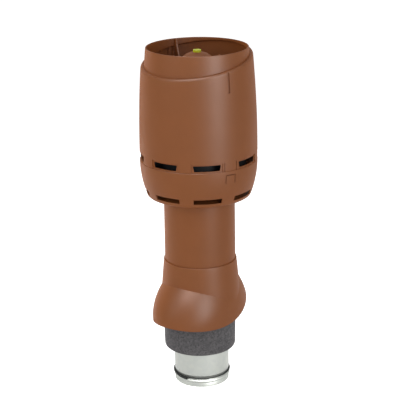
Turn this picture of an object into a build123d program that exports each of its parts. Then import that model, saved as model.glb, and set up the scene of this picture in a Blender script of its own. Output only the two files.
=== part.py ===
from build123d import *
from math import atan2, cos, pi, radians, sin, sqrt, tan
import os

os.makedirs("parts", exist_ok=True)

# Insulated roof exhaust vent that stands through a sloping tile roof.
# Millimetres. The origin is the centre of the duct's lower end, +Z runs up the pipe,
# and the roof falls towards -Y. Angles are counted from -Y towards +X, in degrees.

# Driving dimensions
duct_od = 125.0               # galvanised duct inside, the size the vent is sold by
insulation = 17.3             # from the duct's outside to the plastic pipe's, at its lower end
hood_overhang = 49.95         # from there to the widest part of the hood
foam_bottom = 86.0            # lower end of the insulation
foam_foot = 64.0              # height of its thick lower part, which the pipe stands on
collar_top = 296.0            # upper edge of the roof skirt's collar
bowl_bottom = 446.0           # lower corner of the hood's bowl
bowl_height = 83.0
shell_height = 247.0
roof_slope = 10.5             # slope that the skirt's edge and the hood's shoulder follow
wall = 3.0                    # wall of the plastic mouldings
slide = 0.3                   # gap between mouldings that slide together
bite = 1.0                    # how far a cut or a joined rib runs past the face it starts at

pipe_od = duct_od + 2 * insulation
hood_od = pipe_od + 2 * hood_overhang
pipe_bottom = foam_bottom + foam_foot
joint_z = bowl_bottom + bowl_height
hood_top = joint_z + shell_height

# Outer pipe and insulation: the pipe narrows to a spigot inside the hood's socket
pipe_wall = 3.0
pipe_draft = 0.002            # radius lost for each millimetre of height
spigot_step = 0.8
spigot_height = 34.0          # above the bowl's lower corner
spigot_cover = 6.0            # how far the spigot starts below that corner
foam_round = 5.0
foam_slip = 0.4               # foam inside the pipe is smaller by this on the radius
pipe_top = bowl_bottom + spigot_height
spigot_low = bowl_bottom - spigot_cover
spigot_r = pipe_od / 2 - spigot_step
pipe_bore_r = pipe_od / 2 - pipe_wall - foam_slip
foam_top = spigot_low

# Galvanised duct: plain end, rolled bead, groove for the seal, straight pipe
duct_wall = 0.8
duct_rise = 40.0              # how far the duct stands above the pipe
end_inset = 0.6               # plain end, in from the duct's outside
crimp_low, crimp_z, crimp_depth = 7.5, 9.0, 1.2
bead_low, bead_z = 11.5, 13.0
bead_foot, bead_out = 0.9, 0.3
groove_low, groove_high = 17.5, 24.5
groove_depth, groove_flank = 1.3, 1.5
duct_end_r = duct_od / 2 - end_inset
crimp_r = duct_od / 2 - crimp_depth
bead_low_r = duct_od / 2 - bead_foot
bead_r = duct_od / 2 + bead_out
groove_r = duct_od / 2 - groove_depth
duct_top = pipe_top + duct_rise

# Rubber seal in the duct's groove, with a folded-down stretch at its joint
seal_base = 1.8
lip_z, lip_out, lip_half, lip_tip = 22.0, 2.8, 1.0, 0.4
low_lip_z, low_lip_out, low_lip_half = 18.8, 2.0, 0.8
fold_low, fold_high, fold_out, fold_gap = 15.4, 20.0, 2.9, 0.15
fold_from, fold_to = -74.0, 12.0            # degrees round the duct
cut_gap = 0.8
cut_tilt = 35.0               # degrees from upright
lip_r = duct_od / 2 + lip_out
low_lip_r = duct_od / 2 + low_lip_out
fold_r = duct_od / 2 + fold_out

# Roof skirt: drafted collar joined to an oval bulge that leans down the roof
collar_gap = 2.3
collar_height = 111.0
collar_draft = 0.09
collar_land = 12.0            # height of the collar's close-fitting mouth
skirt_wall = 2.6
bulge_reach = 47.2            # outside the pipe, down the roof
bulge_side = 14.6             # outside the pipe, across the roof
bulge_up = 120.4
bulge_drop = 134.2            # from the collar's top to the bulge's middle
bulge_lean = 30.4             # degrees
bulge_ease = 3.4              # how much tighter than its half width the crown is rounded
bulge_tail = 60.0             # how far it runs on below its middle
rim_rise = 28.0               # skirt's edge above the bulge's middle, on the axis
rim_arch = 180.0              # radius that the edge is arched to, across the roof
skirt_ribs = 8
skirt_rib_w, skirt_rib_height = 2.0, 68.0
skirt_rib_foot = 12.0
bulge_down = pipe_od / 2 + bulge_reach
bulge_across = pipe_od / 2 + bulge_side
collar_r = pipe_od / 2 + collar_gap
collar_bottom = collar_top - collar_height
bulge_z = collar_top - bulge_drop
rim_crest = bulge_z + rim_rise

# Hood bowl: rounded wall, floor that falls outwards, socket on the pipe
bowl_curve = 205.0
bowl_corner = 6.0
floor_rise = 9.0
socket_wall = 2.6
joint_chamfer = 0.7
drain_count = 8
drain_width = 30.0            # degrees
drain_rise, drain_height = 10.5, 11.0
latch_count = 2
latch_first, latch_width = 67.5, 8.0        # degrees
tongue_width, tongue_slit = 24.0, 1.3
tongue_drop, tongue_height = 28.0, 19.5     # foot below the joint, and length
hook_drop, hook_thick, hook_depth = 18.0, 3.0, 3.5
socket_r = spigot_r + socket_wall
drain_low = bowl_bottom + drain_rise
tongue_low = joint_z - tongue_drop
tongue_high = tongue_low + tongue_height
hook_low = joint_z - hook_drop

# Hood shell: barrel, slanted shoulder, level ring
barrel_curve = 2440.0
barrel_belly = 19.0           # widest height of the barrel, above the joint
shoulder_step = 18.05         # from the widest radius in to the ring
shoulder_drop = 25.3          # below the hood's top, on the axis
shoulder_round = 6.0
ring_draft = 0.09
ring_depth = 75.0
rim_round = 1.2
lip_depth, lip_wall = 12.0, 2.8
nib_height = 6.0
window_sill, window_height = 3.0, 13.0
window_taper, window_corner = 2.5, 2.0
window_groups = 4             # pairs of windows, a wider post inside each pair
window_width = 26.75          # degrees
post_latch = 20.5             # degrees between the windows of a pair
frame_margin = 1.9            # degrees beyond the window on each side
frame_rise, frame_depth = 3.5, 1.4
sill_step = 0.5
mark_width = 0.9
mark_angle = 6.5              # degrees to both sides of a latch
slot_width, slot_depth, slot_length = 5.0, 1.6, 80.0
back_width, back_depth, back_length = 8.0, 3.0, 84.0
barrel_widest = joint_z + barrel_belly
ring_r = hood_od / 2 - shoulder_step
shoulder_z = hood_top - shoulder_drop
window_low = joint_z + window_sill
window_high = window_low + window_height
frame_high = window_high + frame_rise
slot_low = hood_top - slot_length
back_low = hood_top - back_length

# Rain dome with two fins, and its plug
outlet_gap = 24.6             # between the dome's edge and the ring
dome_drop = 10.5              # crown below the hood's top
dome_ball = 50.0
dome_slope = 43.0             # degrees below level, of the cone that follows the ball crown
dome_lip, dome_wall = 5.0, 2.6
dome_flat_drop = 1.1          # flat seat of the plug, below the crown
fin_count = 2
fin_first = 62.4              # degrees
fin_thick = 3.0
fin_reach = 7.0               # how far a fin runs in over the dome
fin_knee_out, fin_knee_drop = 16.0, 12.5
fin_head_out, fin_head_drop = 17.0, 0.4
fin_step_drop, fin_step_fall = 17.0, 6.0
fin_gap = 2.0                 # to the barrel's inside
fin_fit = 0.05                # to the ring's inside
fin_foot_in, fin_foot_drop, fin_length = 17.0, 4.0, 79.0
plug_r, plug_head, plug_round = 8.85, 4.6, 0.8
plug_stem_r, plug_stem = 6.0, 5.0
dome_r = ring_r - wall - outlet_gap
dome_crown = hood_top - dome_drop
dome_flat = dome_crown - dome_flat_drop
fin_low = hood_top - fin_length

# Black air guide round the duct's mouth, and its rubber ring
guide_wall, guide_flange = 2.5, 3.0
guide_skirt = 19.0            # collar outside the hood's socket
guide_gap = 3.5               # round the duct
guide_drum_gap = 25.5         # to the hood's widest radius
guide_cone, guide_drum_over = 32.0, 15.0
guide_neck, guide_taper = 50.0, 4.0
guide_holes = 8
guide_hole_d = 6.0
ring_lip, ring_lip_thick = 3.0, 1.8
guide_collar_low = pipe_top - guide_skirt
guide_bore_r = duct_od / 2 + guide_gap
guide_drum_r = hood_od / 2 - guide_drum_gap
guide_drum_low = pipe_top + guide_cone
guide_drum_high = window_high + guide_drum_over
guide_top = guide_drum_high + guide_neck

# Screws through guide, bowl socket and pipe
screw_count = 4
screw_first = 22.5            # degrees
screw_drop = 9.5              # below the pipe's top
screw_d, screw_length, screw_point = 4.2, 11.0, 1.2
screw_hole_d = 4.6
screw_head_d, screw_head, screw_head_round = 8.0, 2.6, 1.2
recess_long, recess_wide, recess_deep = 4.4, 1.0, 1.2
screw_z = pipe_top - screw_drop


def turned(*points):
    """Solid of revolution from corner points (radius, height)."""
    return revolve(make_face(Plane.XZ * Polyline(*points, close=True)), Axis.Z)


def turn_edges(edges):
    """Solid of revolution from a closed run of edges in the XZ plane."""
    return revolve(make_face(Plane.XZ * Wire(edges)), Axis.Z)


def tube(r_in, r_out, low, high):
    return turned((r_in, low), (r_out, low), (r_out, high), (r_in, high))


def rod(r, low, high):
    return turned((0, low), (r, low), (r, high), (0, high))


def stud(r, length):
    """Round bar that starts at the origin and runs up +Z."""
    return Cylinder(r, length, align=(Align.CENTER, Align.CENTER, Align.MIN))


def circles(shape, level):
    """Circular edges at the lowest (0) or highest (-1) level of a shape."""
    return shape.edges().filter_by(GeomType.CIRCLE).group_by(Axis.Z)[level]


def spread(first, count):
    """Evenly spaced angles round the axis."""
    return [first + 360 / count * k for k in range(count)]


def sector(r_in, r_out, low, high, angle, width):
    """Part of a ring, centred on an angle."""
    outline = Polyline((r_in, low), (r_out, low), (r_out, high), (r_in, high), close=True)
    part = revolve(make_face(Plane.XZ * outline), Axis.Z, revolution_arc=width)
    return Rot(0, 0, angle - width / 2 - 90) * part


def radial_box(r_in, r_out, width, low, high, angle):
    """Straight block that points away from the axis."""
    box = Box(r_out - r_in, width, high - low)
    return Rot(0, 0, angle - 90) * Pos((r_in + r_out) / 2, 0, (low + high) / 2) * box


def radial_plate(points, thick, angle):
    """Flat plate in a plane through the axis, from corner points (radius, height)."""
    face = make_face(Plane.XZ * Polyline(*points, close=True))
    return Rot(0, 0, angle - 90) * extrude(face, amount=thick / 2, both=True)


def save(name, shape):
    export_step(shape, f"parts/{name}.step")
    print(name, round(shape.volume), len(shape.solids()))


def duct_line(inset):
    """Outline of the duct, from its lower end up to its top, moved in by an amount."""
    end_r, neck_r, foot_r, crest_r, seat_r, top_r = [
        r - inset for r in (duct_end_r, crimp_r, bead_low_r, bead_r, groove_r, duct_od / 2)
    ]
    return [
        Line((end_r, 0), (end_r, crimp_low)),
        Line((end_r, crimp_low), (neck_r, crimp_z)),
        Line((neck_r, crimp_z), (foot_r, bead_low)),
        ThreePointArc((foot_r, bead_low), (crest_r, bead_z), (seat_r, groove_low)),
        Line((seat_r, groove_low), (seat_r, groove_high)),
        Line((seat_r, groove_high), (top_r, groove_high + groove_flank)),
        Line((top_r, groove_high + groove_flank), (top_r, duct_top)),
    ]


def make_duct():
    outer = duct_line(0)
    inner = duct_line(duct_wall)
    ends = [
        Line(outer[0] @ 0, inner[0] @ 0),
        Line(outer[-1] @ 1, inner[-1] @ 1),
    ]
    return turn_edges(outer + inner + ends)


def make_seal():
    base_r = groove_r + seal_base
    ring = turned(
        (groove_r, groove_low), (base_r, groove_low), (base_r, low_lip_z - low_lip_half),
        (low_lip_r, low_lip_z), (base_r, low_lip_z + low_lip_half), (base_r, lip_z - lip_half),
        (lip_r, lip_z - lip_tip), (lip_r, lip_z + lip_tip), (base_r, lip_z + lip_half),
        (base_r, groove_high), (groove_r, groove_high),
    )
    middle = (fold_from + fold_to) / 2
    fold = sector(bead_r + fold_gap, fold_r, fold_low, fold_high, middle, fold_to - fold_from)
    low, high = fold_low - 3 * bite, groove_high + 3 * bite
    slit = Box(2 * (fold_r - groove_r), cut_gap, high - low)
    cut = Rot(0, 0, fold_to - 90) * Pos(fold_r, 0, (low + high) / 2) * Rot(cut_tilt, 0, 0) * slit
    return ring + fold - cut


def make_sleeve():
    sleeve = turned(
        (duct_od / 2, foam_bottom), (pipe_od / 2, foam_bottom), (pipe_od / 2, pipe_bottom),
        (pipe_bore_r, pipe_bottom), (pipe_bore_r, foam_top), (duct_od / 2, foam_top),
    )
    corner = circles(sleeve, 0).sort_by(SortBy.RADIUS)[-1]
    return fillet(corner, foam_round)


def pipe_r(z):
    return pipe_od / 2 - pipe_draft * (z - pipe_bottom)


def pipe_body():
    return turned(
        (0, pipe_bottom), (pipe_r(pipe_bottom), pipe_bottom), (pipe_r(spigot_low), spigot_low),
        (spigot_r, spigot_low), (spigot_r, pipe_top), (0, pipe_top),
    )


def screw_bore(d, angle):
    """Hole along a screw's own axis, out to the air guide's collar."""
    bore = stud(d / 2, socket_r + guide_wall + bite)
    return Rot(0, 0, angle - 90) * Pos(0, 0, screw_z) * Rot(0, 90, 0) * bore


def make_pipe():
    pipe = pipe_body() - rod(pipe_bore_r, pipe_bottom - bite, pipe_top + bite)
    for angle in spread(screw_first, screw_count):
        pipe -= screw_bore(screw_d, angle)
    return pipe


def bulge(inset):
    """Oval body that leans down the roof, smaller by an amount all round.

    Its outline is a ball crown that runs into a flatter side arc.
    """
    up, across, down = bulge_up - inset, bulge_across - inset, bulge_down - inset
    crown_r = across - bulge_ease
    side_r = (across ** 2 + up ** 2 - 2 * up * crown_r) / (2 * bulge_ease)
    crown_z = up - crown_r
    turn = atan2(crown_z, side_r - across)
    blend = (crown_r * cos(turn), crown_z + crown_r * sin(turn))
    half = (turn + pi / 2) / 2
    on_crown = (crown_r * cos(half), crown_z + crown_r * sin(half))
    low_r = across - side_r + sqrt(side_r ** 2 - bulge_tail ** 2)
    body = turn_edges([
        ThreePointArc((0, up), on_crown, blend),
        ThreePointArc(blend, (across, 0), (low_r, -bulge_tail)),
        Line((low_r, -bulge_tail), (0, -bulge_tail)),
        Line((0, -bulge_tail), (0, up)),
    ])
    oval = scale(body, by=(1, down / across, 1))
    return Pos(0, 0, bulge_z) * Rot(bulge_lean, 0, 0) * oval


def collar_in_r(z):
    """Inner radius of the collar's cone at a height."""
    return collar_r + collar_draft * (collar_top - z) - skirt_wall


def collar_cone(inset, top):
    low_r = collar_in_r(collar_bottom) + skirt_wall - inset
    top_r = collar_in_r(top) + skirt_wall - inset
    return turned((0, collar_bottom), (low_r, collar_bottom), (top_r, top), (0, top))


def make_skirt():
    mouth_z = collar_top - collar_land
    skin = collar_cone(0, collar_top) + bulge(0)
    hollow = collar_cone(skirt_wall, mouth_z) + bulge(skirt_wall)
    skirt = skin - hollow
    inner = pipe_r(collar_top) - bite
    rib_low = collar_top - skirt_rib_height
    rib = [
        (inner, rib_low + skirt_rib_foot), (collar_in_r(rib_low) + bite, rib_low),
        (collar_in_r(mouth_z) + bite, mouth_z + bite), (inner, mouth_z + bite),
    ]
    for angle in spread(180 / skirt_ribs, skirt_ribs):
        skirt += radial_plate(rib, skirt_rib_w, angle)
    skirt -= pipe_body()
    arch = Cylinder(rim_arch, 4 * rim_arch)
    return skirt - Pos(0, 0, rim_crest - rim_arch) * Rot(90 + roof_slope, 0, 0) * arch


def bowl_r(z):
    """Outer radius of the hood's bowl at a height."""
    return hood_od / 2 - bowl_curve + sqrt(bowl_curve ** 2 - (joint_z - z) ** 2)


def bowl_body(inset, low, top):
    """Rounded bowl, solid to the axis, with a floor that falls outwards."""
    low_r, mid_r, top_r = [bowl_r(z) - inset for z in (low, (low + top) / 2, top)]
    return turn_edges([
        ThreePointArc((low_r, low), (mid_r, (low + top) / 2), (top_r, top)),
        Line((top_r, top), (0, top)),
        Line((0, top), (0, low + floor_rise)),
        Line((0, low + floor_rise), (spigot_r, low + floor_rise)),
        Line((spigot_r, low + floor_rise), (low_r, low)),
    ])


def hook_r():
    """Inner radius of the hooks on the bowl's latch tongues."""
    return bowl_r(hook_low) - wall - hook_depth


def make_bowl():
    skin = bowl_body(0, bowl_bottom, joint_z)
    skin = fillet(circles(skin, 0), bowl_corner)
    skin = chamfer(circles(skin, -1), joint_chamfer)
    bowl = skin - bowl_body(wall, bowl_bottom + wall, joint_z + bite)
    bowl += tube(spigot_r - bite, socket_r, bowl_bottom + floor_rise, pipe_top)
    bowl -= rod(spigot_r, bowl_bottom - bite, pipe_top + bite)
    drain_high = drain_low + drain_height
    for angle in spread(0, drain_count):
        bowl -= sector(bowl_r(drain_low) - 2 * wall, hood_od / 2, drain_low, drain_high, angle, drain_width)
    inside, outside = bowl_r(tongue_low) - 2 * wall, hood_od / 2 + bite
    tongue_w = tongue_width - 2 * tongue_slit
    for angle in spread(latch_first, latch_count):
        cut = radial_box(inside, outside, tongue_width, tongue_low, tongue_high, angle)
        cut -= radial_box(inside, outside, tongue_w, tongue_low, tongue_high - tongue_slit, angle)
        bowl -= cut
        hook_out = bowl_r(hook_low) - wall + bite / 2
        bowl += sector(hook_r(), hook_out, hook_low, hook_low + hook_thick, angle, latch_width)
    for angle in spread(screw_first, screw_count):
        bowl -= screw_bore(screw_hole_d, angle)
    return bowl


def barrel_r(z):
    """Outer radius of the hood's barrel at a height."""
    return hood_od / 2 - barrel_curve + sqrt(barrel_curve ** 2 - (z - barrel_widest) ** 2)


def barrel_body(inset, low):
    """Barrel up to the hood's top, solid to the axis."""
    mid = (low + hood_top) / 2
    low_r, mid_r, top_r = [barrel_r(z) - inset for z in (low, mid, hood_top)]
    return turn_edges([
        ThreePointArc((low_r, low), (mid_r, mid), (top_r, hood_top)),
        Line((top_r, hood_top), (0, hood_top)),
        Line((0, hood_top), (0, low)),
        Line((0, low), (low_r, low)),
    ])


def above_shoulder(drop):
    """Everything above the slanted plane of the shoulder."""
    size = 3 * hood_od
    block = Box(size, size, size, align=(Align.CENTER, Align.CENTER, Align.MIN))
    return Pos(0, 0, shoulder_z - drop) * Rot(roof_slope, 0, 0) * block


def window_angles():
    """Window centres, in pairs with a wider post inside each pair."""
    step = (post_latch + window_width) / 2
    return [post + side * step for post in spread(latch_first, window_groups) for side in (-1, 1)]


def window_tool(angle):
    half = hood_od / 2 * sin(radians(window_width / 2))
    outline = Polyline(
        (-half + window_taper, window_low), (half - window_taper, window_low),
        (half, window_high), (-half, window_high), close=True,
    )
    face = make_face(Plane.YZ * outline)
    face = fillet(face.vertices(), window_corner)
    inside = guide_drum_r + guide_wall
    prism = Pos(inside, 0, 0) * extrude(face, amount=hood_od / 2 - inside + bite, dir=(1, 0, 0))
    return Rot(0, 0, angle - 90) * prism


def shell_lip(r_in, r_out):
    """Ring that hangs inside the bowl, with the windows' sill above it."""
    sill_r, sill_z = barrel_r(joint_z) - bite, window_low - sill_step
    return turned(
        (r_in, joint_z - lip_depth), (r_out, joint_z - lip_depth), (r_out, joint_z),
        (sill_r, joint_z), (sill_r, sill_z), (r_in, sill_z),
    )


def make_shell():
    skin = barrel_body(0, joint_z) - above_shoulder(0)
    skin = fillet(skin.edges().sort_by(Axis.Z)[-1], shoulder_round)
    skin = chamfer(circles(skin, 0), joint_chamfer)
    ring_low = hood_top - ring_depth
    low_r = ring_r + ring_draft * ring_depth
    ring = turned((0, ring_low), (low_r, ring_low), (ring_r, hood_top), (0, hood_top))
    skin += fillet(circles(ring, -1), rim_round)
    hollow = barrel_body(wall, joint_z - bite) - above_shoulder(wall)
    bore = turned((0, ring_low), (low_r - wall, ring_low), (ring_r - wall, hood_top), (0, hood_top))
    shell = skin - (hollow + bore)
    lip_low = joint_z - lip_depth
    lip_out = bowl_r(lip_low) - wall - slide
    lip_in = lip_out - lip_wall
    shell += shell_lip(lip_in, lip_out)
    frame_r = hood_od / 2 - frame_depth
    for angle in window_angles():
        shell -= window_tool(angle)
        frame_w = window_width + 2 * frame_margin
        shell -= sector(frame_r, hood_od, joint_z - bite, frame_high, angle, frame_w)
    lug_out = hook_r() - slide
    lug_in = lug_out - lip_wall
    nib_low, nib_high = hook_low - nib_height, hook_low - slide
    nib_out = bowl_r(nib_low) - wall - slide
    for angle in spread(latch_first, latch_count):
        for mark in (angle - mark_angle, angle + mark_angle):
            shell -= radial_box(frame_r, hood_od, mark_width, joint_z - bite, frame_high, mark)
        shell += sector(lug_in, lip_in + bite, lip_low, joint_z, angle, latch_width)
        shell += sector(lug_in, lug_out, nib_low, joint_z, angle, latch_width)
        shell += sector(lug_in, nib_out, nib_low, nib_high, angle, latch_width)
        back = radial_box(ring_r, hood_od / 2, back_width, back_low, hood_top, angle)
        shell += (back & hollow) - barrel_body(wall + back_depth, back_low - bite)
        slot = radial_box(ring_r, hood_od, slot_width, slot_low, hood_top, angle)
        shell -= slot - barrel_body(slot_depth, slot_low - bite)
    return shell


def dome_line(inset):
    """Corners of the dome's outline: ball centre, ball crown, cone's two ends."""
    ball = dome_ball - inset
    centre = dome_crown - dome_ball
    turn = radians(dome_slope)
    middle = (ball * sin(turn / 2), centre + ball * cos(turn / 2))
    tangent = (ball * sin(turn), centre + ball * cos(turn))
    edge_r = dome_r - inset
    edge = (edge_r, tangent[1] - (edge_r - tangent[0]) * tan(turn))
    return centre, middle, tangent, edge


def dome_cone_z(r):
    """Height of the cone's middle surface at a radius."""
    tangent = dome_line(dome_wall / 2)[2]
    return tangent[1] - (r - tangent[0]) * tan(radians(dome_slope))


def fin_outline(foot_z):
    """Corners of a fin: up from the dome to the hood's rim, out below the shoulder, down."""
    root_r, wall_r = dome_r - fin_reach, dome_r - dome_wall / 2
    head_z = hood_top - fin_head_drop
    step_z = shoulder_z - fin_step_drop
    step_low = step_z - fin_step_fall
    ring_in = ring_r - wall - fin_fit
    ring_low_in = ring_in + ring_draft * (hood_top - step_z)
    step_r = barrel_r(step_low) - wall - fin_gap
    foot_r = barrel_r(fin_low) - wall - fin_gap
    return [
        (root_r, dome_cone_z(root_r)), (dome_r + fin_knee_out, hood_top - fin_knee_drop),
        (dome_r + fin_head_out, head_z), (ring_in, head_z), (ring_low_in, step_z),
        (step_r, step_low), (foot_r, fin_low), (foot_r - fin_foot_in, fin_low - fin_foot_drop),
        (wall_r, foot_z), (wall_r, dome_cone_z(wall_r)),
    ]


def make_dome():
    centre, middle, tangent, edge = dome_line(0)
    _, under_middle, under_tangent, under_edge = dome_line(dome_wall)
    low = edge[1] - dome_lip
    seat_r = sqrt(dome_ball ** 2 - (dome_flat - centre) ** 2)
    under_z = centre + sqrt((dome_ball - dome_wall) ** 2 - plug_stem_r ** 2)
    dome = turn_edges([
        Line((plug_stem_r, dome_flat), (seat_r, dome_flat)),
        ThreePointArc((seat_r, dome_flat), middle, tangent),
        Line(tangent, edge),
        Line(edge, (edge[0], low)),
        Line((edge[0], low), (under_edge[0], low)),
        Line((under_edge[0], low), under_edge),
        Line(under_edge, under_tangent),
        ThreePointArc(under_tangent, under_middle, (plug_stem_r, under_z)),
        Line((plug_stem_r, under_z), (plug_stem_r, dome_flat)),
    ])
    for angle in spread(fin_first, fin_count):
        dome += radial_plate(fin_outline(low + bite), fin_thick, angle)
    return dome


def make_plug():
    head = rod(plug_r, dome_flat, dome_flat + plug_head)
    head = fillet(circles(head, -1), plug_round)
    return head + rod(plug_stem_r, dome_flat - plug_stem, dome_flat)


def make_guide():
    collar_out = socket_r + guide_wall
    flange_top = pipe_top + guide_flange
    drum_in = guide_drum_r - guide_wall
    top_r = guide_drum_r - guide_taper
    guide = turned(
        (socket_r, guide_collar_low), (collar_out, guide_collar_low), (collar_out, pipe_top),
        (guide_drum_r, guide_drum_low), (guide_drum_r, guide_drum_high), (top_r, guide_top),
        (top_r - guide_wall, guide_top), (drum_in, guide_drum_high), (drum_in, guide_drum_low + bite),
        (collar_out - bite, flange_top), (guide_bore_r, flange_top), (guide_bore_r, pipe_top),
        (socket_r, pipe_top),
    )
    hole = stud(guide_hole_d / 2, guide_cone)
    for angle in spread(0, guide_holes):
        guide -= Rot(0, 0, angle - 90) * Pos((collar_out + guide_drum_r) / 2, 0, pipe_top) * hole
    for angle in spread(screw_first, screw_count):
        guide -= screw_bore(screw_hole_d, angle)
    return guide


def make_ring():
    inner = duct_od / 2
    lip = guide_bore_r + ring_lip
    high = pipe_top + guide_flange
    return turned(
        (inner, pipe_top - ring_lip_thick), (lip, pipe_top - ring_lip_thick), (lip, pipe_top),
        (guide_bore_r, pipe_top), (guide_bore_r, high), (lip, high),
        (lip, high + ring_lip_thick), (inner, high + ring_lip_thick),
    )


def make_screws():
    shank = Pos(0, 0, -screw_length) * stud(screw_d / 2, screw_length)
    shank = chamfer(circles(shank, 0), screw_point)
    head = stud(screw_head_d / 2, screw_head)
    head = fillet(circles(head, -1), screw_head_round)
    for turn in (0, 90):
        slot = Rot(0, 0, turn) * Box(recess_long, recess_wide, 2 * recess_deep)
        head -= Pos(0, 0, screw_head) * slot
    screw = Pos(socket_r + guide_wall, 0, screw_z) * Rot(0, 90, 0) * (shank + head)
    return Compound(children=[Rot(0, 0, a - 90) * screw for a in spread(screw_first, screw_count)])


save("steel_duct", make_duct())
save("duct_seal", make_seal())
save("insulation_sleeve", make_sleeve())
save("outer_pipe", make_pipe())
save("roof_skirt", make_skirt())
save("hood_bowl", make_bowl())
save("hood_shell", make_shell())
save("rain_dome", make_dome())
save("dome_plug", make_plug())
save("air_guide", make_guide())
save("guide_ring", make_ring())
save("hood_screws", make_screws())
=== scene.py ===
import math

import bmesh
import bpy
from mathutils import Matrix, Vector


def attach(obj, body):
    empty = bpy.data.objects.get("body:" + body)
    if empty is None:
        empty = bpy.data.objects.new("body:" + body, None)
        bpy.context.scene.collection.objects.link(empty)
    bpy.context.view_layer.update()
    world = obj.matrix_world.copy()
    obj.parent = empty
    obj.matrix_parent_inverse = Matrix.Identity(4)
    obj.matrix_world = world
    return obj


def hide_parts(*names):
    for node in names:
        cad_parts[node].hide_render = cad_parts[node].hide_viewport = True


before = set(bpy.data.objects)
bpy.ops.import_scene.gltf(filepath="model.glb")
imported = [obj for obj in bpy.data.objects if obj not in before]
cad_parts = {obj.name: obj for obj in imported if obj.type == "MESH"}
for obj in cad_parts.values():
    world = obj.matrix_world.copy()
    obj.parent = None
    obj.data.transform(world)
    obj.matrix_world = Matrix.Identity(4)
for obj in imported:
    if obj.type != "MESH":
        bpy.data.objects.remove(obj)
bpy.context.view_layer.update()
print("frame loaded:", len(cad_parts), "CAD nodes")

mm = 0.001                    # the dictionaries below are in millimetres, Blender works in metres

# Sizes that several pieces share. Angles are in degrees, from the downhill side towards +X
vent = {
    "roofSlope": 10.5,
    "wall": 3.0,
    "steps": 288,             # faces round a piece
    "jointZ": 529.0,          # where the hood's bowl and shell meet
    "hoodR": 129.75,
    "bellyZ": 548.0,          # widest height of the shell's barrel
    "barrelCurve": 2440.0,
    "latches": (67.5, 247.5),
    "topZ": 776.0,
    "ringR": 111.7,
    "ringDraft": 0.09,
    "pipeR": 79.8,
    "pipeDraft": 0.002,
    "pipeBottom": 150.0,
    "ductR": 62.5,
    "toolPast": 5.0,          # how far a cutting tool stands out of the skin
    "toolMargin": 1.0,        # how far it runs past an edge
}
shear = math.tan(math.radians(vent["roofSlope"]))

# Where the photograph was taken from
shot = {
    "reach": 2.6862,          # metres from the pipe's axis
    "height": 1.2996,
    "bearing": 36.0,          # degrees
    "pitch": 17.95,
    "yaw": 0.03,
    "roll": 0.87,
    "lens": 113.97,           # mm
    "sensor": 36.0,           # mm
}


# Modelling helpers

def deselectAll():
    if bpy.context.object and bpy.context.object.mode != "OBJECT":
        bpy.ops.object.mode_set(mode="OBJECT")
    bpy.ops.object.select_all(action="DESELECT")


def makeActive(piece):
    deselectAll()
    piece.select_set(True)
    bpy.context.view_layer.objects.active = piece


def applyPlace(piece):
    makeActive(piece)
    bpy.ops.object.transform_apply(location=True, rotation=True, scale=True)


# A closed wall of rings: the first is a circle, each next one is extruded from it and resized,
# and the last is bridged to the first, or both are capped for a solid piece. A row is
# (radius, height) or (radius, height, lean), where a lean of 1 is the slope of the roof.
def ringPiece(name, rows, drift=0.0, capped=False):
    deselectAll()
    bpy.ops.mesh.primitive_circle_add(
        vertices=vent["steps"], radius=rows[0][0] * mm, location=(0, 0, rows[0][1] * mm), fill_type="NOTHING")
    piece = bpy.context.object
    piece.name = name
    applyPlace(piece)
    bpy.ops.object.mode_set(mode="EDIT")
    bpy.ops.mesh.select_all(action="SELECT")
    for before, row in zip(rows, rows[1:]):
        rise = (row[1] - before[1]) * mm
        bpy.ops.mesh.extrude_region_move(TRANSFORM_OT_translate={"value": (0, 0, rise)})
        grow = row[0] / before[0]
        bpy.ops.transform.resize(value=(grow, grow, 1), center_override=(0, 0, 0))
    bpy.ops.mesh.select_all(action="DESELECT")
    bpy.ops.mesh.select_non_manifold(extend=False)
    if capped:
        bpy.ops.mesh.fill_holes(sides=0)             # 0 fills a hole with any number of sides
    else:
        bpy.ops.mesh.bridge_edge_loops()
    leanRows(piece, rows, drift)
    bpy.ops.mesh.select_all(action="SELECT")
    bpy.ops.mesh.normals_make_consistent(inside=False)
    bpy.ops.object.mode_set(mode="OBJECT")
    return piece


# Turns each leaning ring about its own centre, widens it so that it stays round from above,
# and moves it downhill by the wall's own draft
def leanRows(piece, rows, drift):
    steps = vent["steps"]
    work = bmesh.from_edit_mesh(piece.data)
    for index, row in enumerate(rows):
        if len(row) < 3 or row[2] == 0:
            continue
        bpy.ops.mesh.select_all(action="DESELECT")
        work.verts.ensure_lookup_table()
        for k in range(index * steps, (index + 1) * steps):
            work.verts[k].select = True
        work.select_flush_mode()
        turn = math.asin(shear * row[2])
        middle = (0, 0, row[1] * mm)
        bpy.ops.transform.rotate(value=-turn, orient_axis="X", center_override=middle)
        bpy.ops.transform.resize(value=(1, 1 / math.cos(turn), 1), center_override=middle)
        bpy.ops.transform.translate(value=(0, -drift * shear * row[2] * row[0] * mm, 0))


# Corner points, some with a rounding as a third number, to an outline with arcs there
def soften(corners, bits=5):
    outline = []
    for k, corner in enumerate(corners):
        here = Vector(corner[:2])
        if len(corner) < 3:
            outline.append(tuple(here))
            continue
        into = (Vector(corners[k - 1][:2]) - here).normalized()
        away = (Vector(corners[(k + 1) % len(corners)][:2]) - here).normalized()
        half = into.angle(away) / 2
        reach = corner[2] / math.tan(half)
        centre = here + (into + away).normalized() * (corner[2] / math.sin(half))
        start, end = here + into * reach - centre, here + away * reach - centre
        for bit in range(bits + 1):
            outline.append(tuple(centre + start.slerp(end, bit / bits) * corner[2]))
    return outline


def arc(centre, radius, start, end, bits=6):
    spots = []
    for bit in range(bits + 1):
        turn = math.radians(start + (end - start) * bit / bits)
        spots.append((centre[0] + radius * math.cos(turn), centre[1] + radius * math.sin(turn)))
    return spots


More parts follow.
